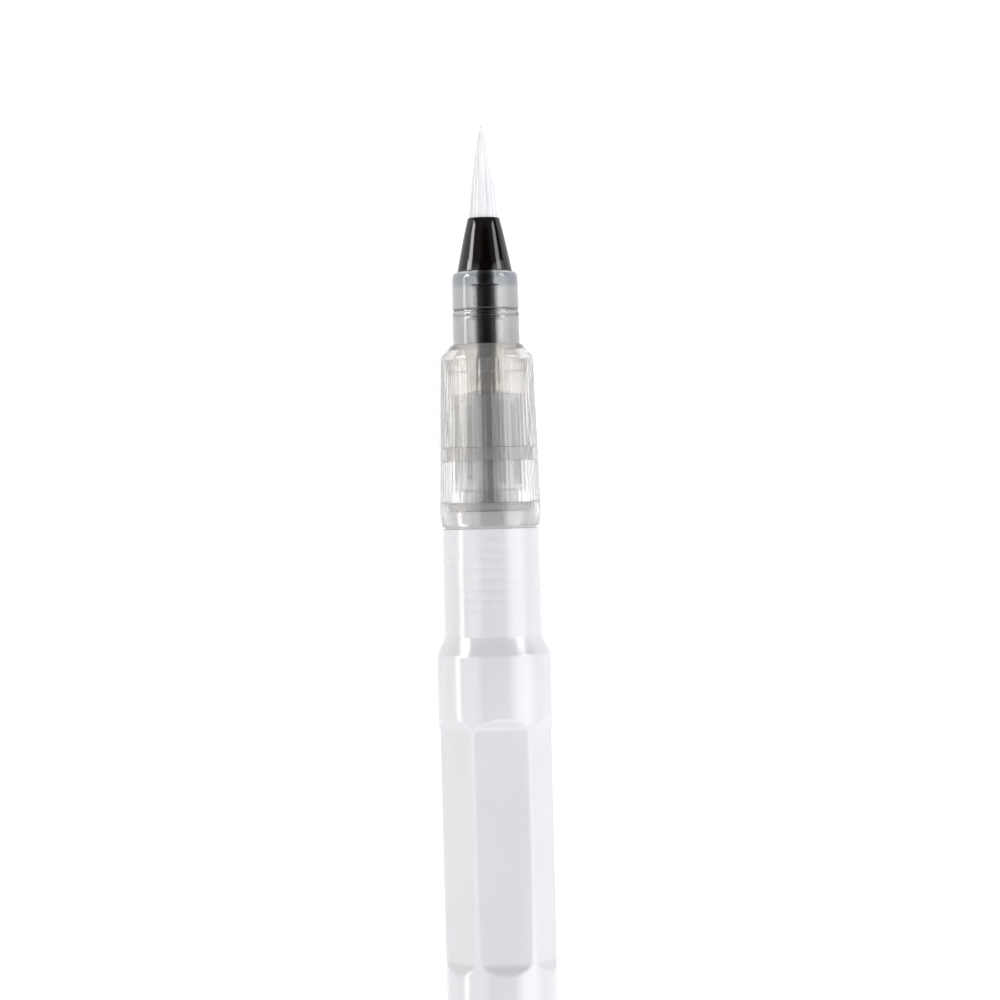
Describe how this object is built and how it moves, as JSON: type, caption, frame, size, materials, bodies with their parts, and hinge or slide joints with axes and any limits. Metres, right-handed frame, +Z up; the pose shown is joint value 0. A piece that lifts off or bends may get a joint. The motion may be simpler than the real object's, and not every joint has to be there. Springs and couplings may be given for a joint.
{
  "type": "water brush pen",
  "caption": "Refillable water brush pen with a pointed nylon tuft, clear nozzle, ribbed grip, soft squeeze barrel and a clip cap posted on its tail.",
  "frame": {"origin": "on the surface that the pen lies on, midway along it and below its axis", "axes": "+Y along the pen towards the brush tip, +Z up through the cap's clip"},
  "size_m": [0.014, 0.2038, 0.0168],
  "materials": {
    "nylon_filament": "satin white nylon filaments",
    "fused_nylon": "fused nylon",
    "black_gloss": "glossy black moulding",
    "clear_plastic": "glossy clear moulding",
    "feed_black": "satin black moulding",
    "plug_grey": "satin dark grey moulding",
    "frosted_grip": "frosted, fine lengthwise ribs",
    "frosted_collar": "frosted moulding",
    "seal_rubber": "black rubber",
    "milky_barrel": "soft milky translucent",
    "cap_clear": "glossy clear moulding",
    "seal_natural": "natural translucent"
  },
  "bodies": {
    "barrel": {"reservoir_barrel": "milky_barrel"},
    "seal_carriage": {"seal_ring": "seal_rubber"},
    "head": {"thread_collar": "frosted_collar", "grip_shell": "frosted_grip", "nozzle": "clear_plastic", "ferrule_cone": "black_gloss", "tuft_root": "fused_nylon", "feed_core": "feed_black", "regulator_plug": "plug_grey"},
    "tuft": {"bristle_tuft": "nylon_filament"},
    "posted_cap": {"cap": "cap_clear", "cap_inner_seal": "seal_natural"}
  },
  "joints": [
    {"name": "head_travel", "type": "slide", "parent": "barrel", "child": "seal_carriage", "axis": [0, 1, 0], "range_m": [0, 0.01]},
    {"name": "head_unscrew", "type": "hinge", "parent": "seal_carriage", "child": "head", "pos_m": [0, 0.05185, 0.00697], "axis": [0, 1, 0], "range_deg": [0, 2880.1]},
    {"name": "bristle_flex", "type": "hinge", "parent": "head", "child": "tuft", "pos_m": [0, 0.09035, 0.00697], "axis": [0, 0, 1], "range_deg": [-22, 22], "stiffness_Nm_per_rad": 0.0003},
    {"name": "cap_pull", "type": "slide", "parent": "barrel", "child": "posted_cap", "axis": [0, -1, 0], "range_m": [0, 0.014]}
  ],
  "couplings": [
    {"joint": "head_unscrew", "follows": "head_travel", "rad_per_m": 5026.5}
  ]
}
